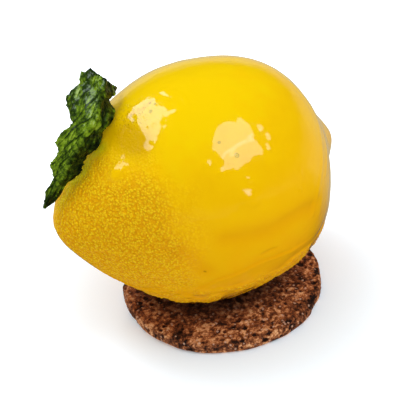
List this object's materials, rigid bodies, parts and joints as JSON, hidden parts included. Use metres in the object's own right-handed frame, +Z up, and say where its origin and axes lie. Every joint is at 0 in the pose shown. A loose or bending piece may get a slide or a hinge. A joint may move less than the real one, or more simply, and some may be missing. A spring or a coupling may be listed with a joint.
{
  "type": "lemon-shaped dessert",
  "caption": "Glazed lemon-shaped dessert lying on a thin round cocoa biscuit, with a mint leaf laid on its stem end.",
  "frame": {"origin": "centre of the biscuit's flat underside, on the surface the dessert stands on", "axes": "+Z up, +X along the lemon from its stem end to its nipple, +Y to the side the leaf leans over"},
  "size_m": [0.079, 0.0606, 0.0658],
  "materials": {
    "lemon_glaze": "gloss",
    "mint_leaf": "satin",
    "cocoa_biscuit": "matte"
  },
  "bodies": {
    "root": {"lemon_body": "lemon_glaze", "leaf": "mint_leaf", "biscuit_base": "cocoa_biscuit"}
  },
  "joints": []
}
